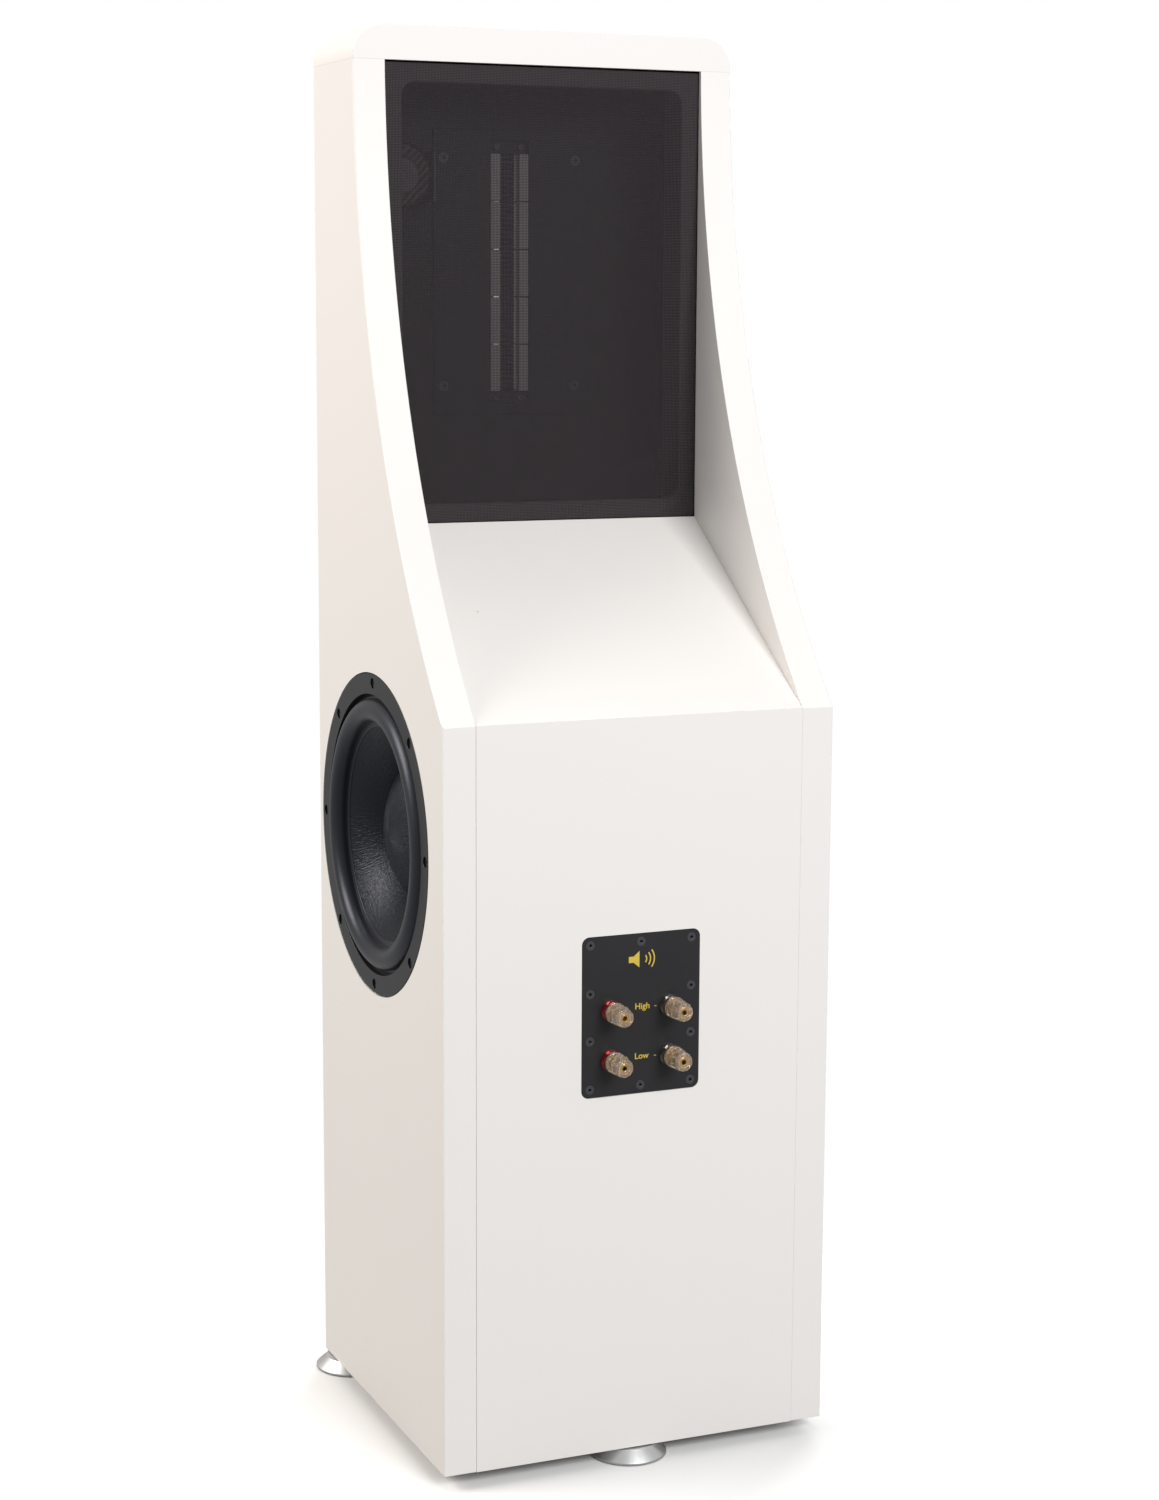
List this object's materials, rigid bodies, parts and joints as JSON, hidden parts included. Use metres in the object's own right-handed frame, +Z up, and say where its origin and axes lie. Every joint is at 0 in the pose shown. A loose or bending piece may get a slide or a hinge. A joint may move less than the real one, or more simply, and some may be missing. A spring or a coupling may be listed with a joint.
{
  "type": "floorstanding speaker",
  "caption": "Tall narrow loudspeaker cabinet with swept rear wings around a cloth-covered ribbon compartment, a side woofer, a front midrange driver, binding posts and bell feet.",
  "frame": {"origin": "on the floor under the middle of the part's bounding box", "axes": "+Z up, -Y out of the front baffle, +Y out of the rear panel, +X out of the side panel that carries the woofer"},
  "size_m": [0.366, 0.3537, 1.17],
  "materials": {
    "white_lacquer": "satin white lacquer on board",
    "bare_board": "bare ply",
    "moulded_pot": "moulded",
    "anodised_aluminium": "satin anodised",
    "black_metal": "black anodised",
    "magnet": "plated block",
    "foil": "bright corrugated",
    "bright_screw": "zinc plated",
    "transformer_body": "taped winding",
    "plain_aluminium": "mill finish",
    "black_board": "black painted board",
    "grille_fabric": "open woven black cloth",
    "cast_basket": "black textured paint",
    "ferrite": "sintered",
    "plated_steel": "zinc plated",
    "coated_paper": "coated pulp",
    "copper_winding": "enamelled wire",
    "surround_rubber": "moulded",
    "spider_fabric": "resin dipped",
    "black_screw": "black oxide",
    "gold_plate": "gold plated",
    "red_plastic": "moulded",
    "smoke_plastic": "smoked clear",
    "clear_plastic": "clear moulded over gold",
    "circuit_board": "solder mask",
    "capacitor_body": "film sleeve",
    "wire_insulation": "extruded",
    "foot_rubber": "moulded",
    "turned_aluminium": "bright turned"
  },
  "bodies": {
    "cabinet": {"side_panel_woofer": "white_lacquer", "side_panel_plain": "white_lacquer", "top_cap": "white_lacquer", "rear_panel": "white_lacquer", "slope_panel": "white_lacquer", "base_panel": "white_lacquer", "front_baffle": "white_lacquer", "compartment_shelf": "white_lacquer", "window_brace": "bare_board", "mid_pot": "moulded_pot", "ribbon_faceplate": "anodised_aluminium", "ribbon_rear_plate": "black_metal", "ribbon_magnets": "magnet", "ribbon_foil": "foil", "ribbon_clamps": "black_metal", "ribbon_screws": "bright_screw", "matching_transformer": "transformer_body", "transformer_bracket": "plain_aluminium", "grille_battens": "black_board", "woofer_basket": "cast_basket", "woofer_magnet": "ferrite", "woofer_pole_plates": "plated_steel", "woofer_surround": "surround_rubber", "woofer_spider": "spider_fabric", "woofer_screws": "black_screw", "mid_basket": "cast_basket", "mid_motor": "ferrite", "mid_surround": "surround_rubber", "mid_spider": "spider_fabric", "mid_screws": "black_screw", "terminal_plate": "black_metal", "terminal_screws": "black_screw", "post_studs": "gold_plate", "post_collars_plus": "red_plastic", "post_collars_minus": "smoke_plastic", "foot_inserts": "plated_steel", "crossover_board": "circuit_board", "crossover_coils": "copper_winding", "crossover_capacitors": "capacitor_body", "internal_wires": "wire_insulation"},
    "woofer_diaphragm": {"woofer_cone": "coated_paper", "woofer_dust_cap": "coated_paper", "woofer_voice_coil": "copper_winding"},
    "mid_diaphragm": {"mid_cone": "coated_paper"},
    "rear_grille": {"grille_frame": "black_board", "grille_cloth": "grille_fabric"},
    "washer_high_plus": {"post_washer_high_plus": "gold_plate"},
    "cap_high_plus": {"post_cap_high_plus": "clear_plastic"},
    "washer_high_minus": {"post_washer_high_minus": "gold_plate"},
    "cap_high_minus": {"post_cap_high_minus": "clear_plastic"},
    "washer_low_plus": {"post_washer_low_plus": "gold_plate"},
    "cap_low_plus": {"post_cap_low_plus": "clear_plastic"},
    "washer_low_minus": {"post_washer_low_minus": "gold_plate"},
    "cap_low_minus": {"post_cap_low_minus": "clear_plastic"},
    "foot_carrier_left": {"foot_pad_left": "foot_rubber"},
    "foot_left": {"foot_bell_left": "turned_aluminium"},
    "foot_carrier_right": {"foot_pad_right": "foot_rubber"},
    "foot_right": {"foot_bell_right": "turned_aluminium"},
    "foot_carrier_rear": {"foot_pad_rear": "foot_rubber"},
    "foot_rear": {"foot_bell_rear": "turned_aluminium"}
  },
  "joints": [
    {"name": "woofer_stroke", "type": "slide", "parent": "cabinet", "child": "woofer_diaphragm", "axis": [1, 0, 0], "range_m": [-0.006, 0.006], "stiffness_N_per_m": 2500, "deforming": ["woofer_surround", "woofer_spider"]},
    {"name": "mid_stroke", "type": "slide", "parent": "cabinet", "child": "mid_diaphragm", "axis": [0, -1, 0], "range_m": [-0.003, 0.003], "stiffness_N_per_m": 1500, "deforming": ["mid_surround", "mid_spider"]},
    {"name": "grille_pull", "type": "slide", "parent": "cabinet", "child": "rear_grille", "axis": [0, 1, 0], "range_m": [0, 0.12]},
    {"name": "post_lift_high_plus", "type": "slide", "parent": "cabinet", "child": "washer_high_plus", "axis": [0, 1, 0], "range_m": [0, 0.004]},
    {"name": "post_turn_high_plus", "type": "hinge", "parent": "washer_high_plus", "child": "cap_high_plus", "pos_m": [0.026, 0.16615, 0.3845], "axis": [0, 1, 0], "range_deg": [0, 1440]},
    {"name": "post_lift_high_minus", "type": "slide", "parent": "cabinet", "child": "washer_high_minus", "axis": [0, 1, 0], "range_m": [0, 0.004]},
    {"name": "post_turn_high_minus", "type": "hinge", "parent": "washer_high_minus", "child": "cap_high_minus", "pos_m": [-0.026, 0.16615, 0.3845], "axis": [0, 1, 0], "range_deg": [0, 1440]},
    {"name": "post_lift_low_plus", "type": "slide", "parent": "cabinet", "child": "washer_low_plus", "axis": [0, 1, 0], "range_m": [0, 0.004]},
    {"name": "post_turn_low_plus", "type": "hinge", "parent": "washer_low_plus", "child": "cap_low_plus", "pos_m": [0.026, 0.16615, 0.3435], "axis": [0, 1, 0], "range_deg": [0, 1440]},
    {"name": "post_lift_low_minus", "type": "slide", "parent": "cabinet", "child": "washer_low_minus", "axis": [0, 1, 0], "range_m": [0, 0.004]},
    {"name": "post_turn_low_minus", "type": "hinge", "parent": "washer_low_minus", "child": "cap_low_minus", "pos_m": [-0.026, 0.16615, 0.3435], "axis": [0, 1, 0], "range_deg": [0, 1440]},
    {"name": "foot_lift_left", "type": "slide", "parent": "cabinet", "child": "foot_carrier_left", "axis": [0, 0, -1], "range_m": [0, 0.008]},
    {"name": "foot_turn_left", "type": "hinge", "parent": "foot_carrier_left", "child": "foot_left", "pos_m": [-0.151, -0.14485, 0.012], "axis": [0, 0, -1], "range_deg": [0, 2304]},
    {"name": "foot_lift_right", "type": "slide", "parent": "cabinet", "child": "foot_carrier_right", "axis": [0, 0, -1], "range_m": [0, 0.008]},
    {"name": "foot_turn_right", "type": "hinge", "parent": "foot_carrier_right", "child": "foot_right", "pos_m": [0.151, -0.14485, 0.012], "axis": [0, 0, -1], "range_deg": [0, 2304]},
    {"name": "foot_lift_rear", "type": "slide", "parent": "cabinet", "child": "foot_carrier_rear", "axis": [0, 0, -1], "range_m": [0, 0.008]},
    {"name": "foot_turn_rear", "type": "hinge", "parent": "foot_carrier_rear", "child": "foot_rear", "pos_m": [0, 0.12915, 0.012], "axis": [0, 0, -1], "range_deg": [0, 2304]}
  ],
  "couplings": [
    {"joint": "post_turn_high_plus", "follows": "post_lift_high_plus", "rad_per_m": 6283.2},
    {"joint": "post_turn_high_minus", "follows": "post_lift_high_minus", "rad_per_m": 6283.2},
    {"joint": "post_turn_low_plus", "follows": "post_lift_low_plus", "rad_per_m": 6283.2},
    {"joint": "post_turn_low_minus", "follows": "post_lift_low_minus", "rad_per_m": 6283.2},
    {"joint": "foot_turn_left", "follows": "foot_lift_left", "rad_per_m": 5026.5},
    {"joint": "foot_turn_right", "follows": "foot_lift_right", "rad_per_m": 5026.5},
    {"joint": "foot_turn_rear", "follows": "foot_lift_rear", "rad_per_m": 5026.5}
  ]
}
